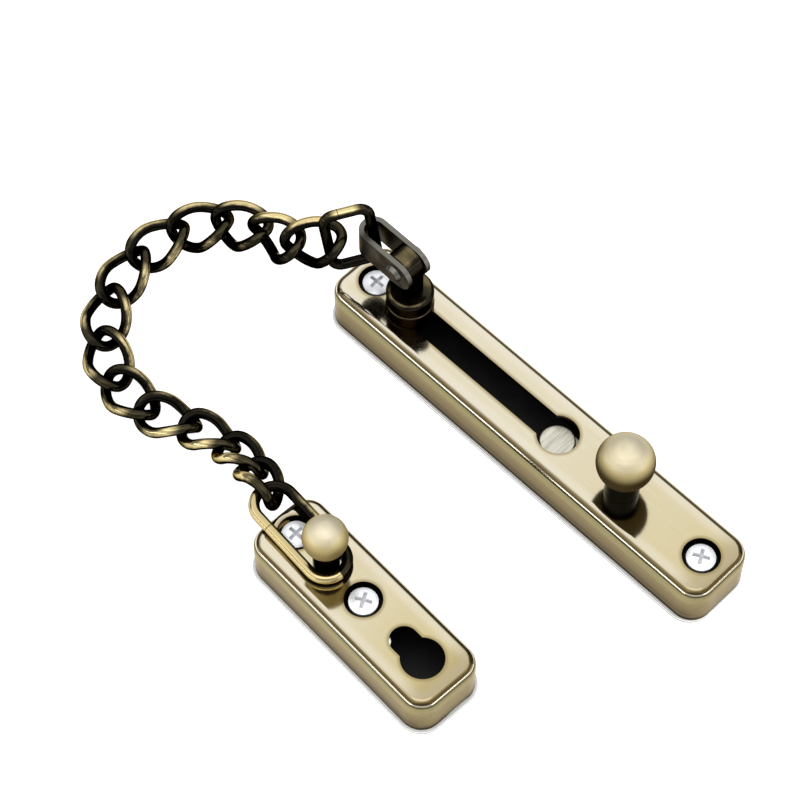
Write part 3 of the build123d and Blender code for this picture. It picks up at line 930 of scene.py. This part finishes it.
# Twisted links
# Thirteen ovals of the same wire, each with its two bows turned opposite ways, so that the run lies flat.
# They are bent cold and hung in each other with a small play, from the slider ring to the anchor ring.
pitch = 0.0130
play = 0.0009
link_half_width = 0.0056
bow_twist = math.radians(50.0)
side_slope = 0.7
hook = wire_width + play
link_half_length = (pitch + hook) / 2
weld_distance = 0.00001
floor_height = 0.0044
ring_clearance = 0.00035
anchor_ring_height = cover_top + ring_clearance + wire_width / 2
rivet_back = 0.0021
rivet_height = cover_top + 0.0200
strap_length = 0.0114
strap_fold_radius = 0.0027
ring_slack = 0.0008
ring_lift = 0.0030
slider_ring_length = 0.0124
slider_ring_heading = 238.0
slider_ring_drop = slider_ring_length * math.sin(math.radians(5.8))
slider_ring_roll = -79.0
anchor_ring_length = 0.03175
anchor_ring_turn = math.radians(-4.7)
# heading, roll and the height of the far contact, as a share of the fall and then of the rise
chain_down = [
    (212.0, -45.0, 0.825),
    (185.0, -60.0, 0.675),
    (197.0, -35.0, 0.528),
    (224.0, -22.0, 0.387),
    (251.0, -10.0, 0.252),
    (278.0, 0.0, 0.129),
    (305.0, 4.0, 0.043),
    (332.0, 6.0, 0.003),
    (359.0, 2.0, 0.0),
]
chain_up = [
    (384.0, -10.0, 0.012),
    (371.0, -22.0, 0.175),
    (353.0, -30.0, 0.566),
    (333.0, -36.0, 1.0),
]


def lie_of(start, heading, drop, length, roll):
    """Matrix on the middle of a straight reach, x along it, and the reach's far end."""
    turn = math.radians(heading)
    level = math.sqrt(length**2 - drop**2)
    reach = Vector((level * math.cos(turn), level * math.sin(turn), -drop))
    left = Vector((-math.sin(turn), math.cos(turn), 0))
    up = reach.cross(left).normalized()
    tilt = math.radians(roll)
    along = reach.normalized()
    facing = up * math.cos(tilt) - left * math.sin(tilt)
    across = facing.cross(along)
    lie = Matrix((along, across, facing)).transposed().to_4x4()
    lie.translation = start + reach * 0.5
    return lie, start + reach


def arc_middle(start, direction, end):
    """Half-way point of the arc that leaves start in a direction and reaches end."""
    chord = end - start
    normal = (chord - direction * chord.dot(direction)).normalized()
    radius = chord.dot(chord) / (2 * chord.dot(normal))
    centre = start + normal * radius
    half = ((start - centre) + (end - centre)).normalized()
    return centre + half * radius


def smooth_meeting(start, start_dir, end, end_dir):
    """Point where two arcs meet smoothly between two points with given directions."""
    gap = end - start
    both = start_dir + end_dir
    square = both.dot(both) - 4
    half = -gap.dot(both)
    reach = (-half - math.sqrt(half**2 - square * gap.dot(gap))) / square
    return (start + start_dir * reach + end - end_dir * reach) * 0.5


def twisted_link_tree(metal):
    """A quarter of the link's line from two arcs, turned to a closed line and made wire."""
    points = ("Side", "Side arc", "Meeting", "Bow arc", "Bow")
    tree, given, result = shape_tree(
        "twisted_link", [(point, "Vector") for point in points] + [("Wire width", "Float")]
    )
    quarter = tree.nodes.new("GeometryNodeJoinGeometry")
    for start, middle, end in (("Side", "Side arc", "Meeting"), ("Meeting", "Bow arc", "Bow")):
        arc = node_in(
            tree,
            "GeometryNodeCurveArc",
            mode="POINTS",
            values={"Resolution": 11, "Start": given[start], "Middle": given[middle], "End": given[end]},
        )
        tree.links.new(arc.outputs["Curve"], quarter.inputs[0])
    whole = tree.nodes.new("GeometryNodeJoinGeometry")
    tree.links.new(quarter.outputs[0], whole.inputs[0])
    for turn in ((math.pi, 0, 0), (0, math.pi, 0), (0, 0, math.pi)):
        copy = node_in(
            tree, "GeometryNodeTransform", values={"Geometry": quarter.outputs[0], "Rotation": turn}
        )
        tree.links.new(copy.outputs["Geometry"], whole.inputs[0])
    edges = node_in(tree, "GeometryNodeCurveToMesh", values={"Curve": whole.outputs[0]})
    closed = node_in(
        tree,
        "GeometryNodeMergeByDistance",
        values={"Geometry": edges.outputs["Mesh"], "Distance": weld_distance},
    )
    line = node_in(tree, "GeometryNodeMeshToCurve", values={"Mesh": closed.outputs["Geometry"]})
    half_length = node_in(tree, "ShaderNodeVectorMath", operation="LENGTH", values={0: given["Bow"]})
    wire = wire_finish(tree, given, line.outputs["Curve"], half_length.outputs["Value"])
    end_tree(tree, result, wire, metal)
    return tree


rivet_at = Vector((slider_at - rivet_back, 0, rivet_height))
strap_reach = strap_length + strap_fold_radius - wire_width / 2 - ring_slack
ring_seat = rivet_at + Vector((-strap_reach, 0, ring_lift))
ring_lie, ring_far = lie_of(
    ring_seat, slider_ring_heading, slider_ring_drop, slider_ring_length, slider_ring_roll
)
ring_tree = bent_ring_tree(wire_bronze)
slider_ring_sizes = {
    "Length": slider_ring_length,
    "Width": 0.0190,
    "Corner": 0.0030,
    "Wire width": wire_width,
    "Joint": 0.0020,
}
slider_ring = made_by(ring_tree, "slider_ring_wire", slider_ring_sizes)
slider_ring.data.transform(ring_lie)
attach(slider_ring, "slider_wire")
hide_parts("slider_ring")

side = Vector((0, link_half_width, 0))
side_dir = Vector((1, 0, -side_slope)).normalized()
bow = Vector((link_half_length, 0, 0))
bow_dir = Vector((0, -math.cos(bow_twist), math.sin(bow_twist)))
meeting = smooth_meeting(side, side_dir, bow, bow_dir)
link_points = {
    "Side": side,
    "Side arc": arc_middle(side, side_dir, meeting),
    "Meeting": meeting,
    "Bow arc": arc_middle(bow, -bow_dir, meeting),
    "Bow": bow,
    "Wire width": wire_width,
}
link_tree = twisted_link_tree(wire_bronze)
contact = ring_far - (ring_far - ring_seat).normalized() * (hook / 2)
fall = contact.z - floor_height
rise = anchor_ring_height - floor_height
chain_lay = [(heading, roll, floor_height + share * fall) for heading, roll, share in chain_down]
chain_lay += [(heading, roll, floor_height + share * rise) for heading, roll, share in chain_up]
for number, (heading, roll, far_height) in enumerate(chain_lay, 1):
    link_lie, contact = lie_of(contact, heading, contact.z - far_height, pitch, roll)
    link = made_by(link_tree, f"link_{number:02d}_wire", link_points)
    link.data.transform(link_lie)
    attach(link, f"link_{number:02d}")
    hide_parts(f"chain_link_{number:02d}")

ring_away = Vector((math.cos(anchor_ring_turn), math.sin(anchor_ring_turn), 0))
anchor_ring_middle = contact + ring_away * (anchor_ring_length / 2 - hook / 2)
anchor_ring_sizes = {
    "Length": anchor_ring_length,
    "Width": 0.0109,
    "Corner": 0.005449,
    "Wire width": wire_width,
    "Joint": -0.0060,
    "Worn": 0.8,
}
anchor_ring = made_by(ring_tree, "anchor_ring_wire", anchor_ring_sizes)
anchor_ring.data.transform(Matrix.Translation(anchor_ring_middle) @ Matrix.Rotation(anchor_ring_turn, 4, "Z"))
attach(anchor_ring, "anchor_wire")
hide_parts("anchor_ring")

# Studio
# A white table top, a large soft light beyond the object, panels and strips round it and a dim room.
# The camera stands where the picture was taken.
floor_half = 3.0
floor_level = -0.0002
target = Vector((-0.0311497, -0.0192686, 0.008))
view_heading = math.radians(134.989)
view_fall = math.radians(60.0)
view_distance = 0.753325
picture_width = 800.0
focal_points = 2805.0

floor_mesh = bpy.data.meshes.new("floor")
corners = [(x * floor_half, y * floor_half, floor_level) for x, y in ((-1, -1), (1, -1), (1, 1), (-1, 1))]
floor_mesh.from_pydata(corners, [], [(0, 1, 2, 3)])
floor = bpy.data.objects.new("floor", floor_mesh)
bpy.context.collection.objects.link(floor)
table_white = bpy.data.materials.new("table_white")
table_white.use_nodes = True
paper = table_white.node_tree.nodes["Principled BSDF"].inputs
paper["Base Color"].default_value = (0.5, 0.5, 0.5, 1)
paper["Roughness"].default_value = 0.9
paper["Emission Color"].default_value = (1, 1, 1, 1)
paper["Emission Strength"].default_value = 0.87
floor_mesh.materials.append(table_white)

room = bpy.data.worlds.new("room")
room.use_nodes = True
walls = room.node_tree.nodes["Background"].inputs
walls["Color"].default_value = (0.9, 0.95, 1.0, 1)
walls["Strength"].default_value = 0.28
bpy.context.scene.world = room
bpy.context.scene.view_settings.view_transform = "Standard"

for name, place, size, watts in (
    ("soft_box", (-0.32, 0.12, 1.25), (2.7, 2.7), 23.8),
    ("front_fill", (0.38, -0.38, 1.18), (1.1, 1.1), 3.3),
    ("front_panel", (0.95, -0.95, 0.42), (1.8, 0.7), 1.8),
    ("panel_left", (-0.45, -0.95, 0.80), (1.6, 1.0), 3.4),
    ("panel_right", (0.95, 0.45, 0.80), (1.6, 1.0), 3.4),
    ("strip_left", (-0.42, -1.10, 0.24), (1.4, 0.12), 2.4),
    ("strip_right", (1.10, 0.42, 0.24), (1.4, 0.12), 2.4),
):
    lamp = bpy.data.lights.new(name, "AREA")
    lamp.shape = "RECTANGLE"
    lamp.size, lamp.size_y = size
    lamp.energy = watts
    stand = bpy.data.objects.new(name, lamp)
    stand.location = place
    stand.rotation_euler = (target - Vector(place)).to_track_quat("-Z", "Y").to_euler()
    bpy.context.collection.objects.link(stand)

lens = bpy.data.cameras.new("view")
lens.sensor_width = 36.0
lens.lens = focal_points / picture_width * lens.sensor_width
lens.clip_end = 20.0
eye = bpy.data.objects.new("view", lens)
sight = Matrix.Rotation(view_heading, 3, "Z") @ Vector((math.cos(view_fall), 0, -math.sin(view_fall)))
eye.location = target - sight * view_distance
eye.rotation_euler = sight.to_track_quat("-Z", "Y").to_euler()
bpy.context.collection.objects.link(eye)
bpy.context.scene.camera = eye
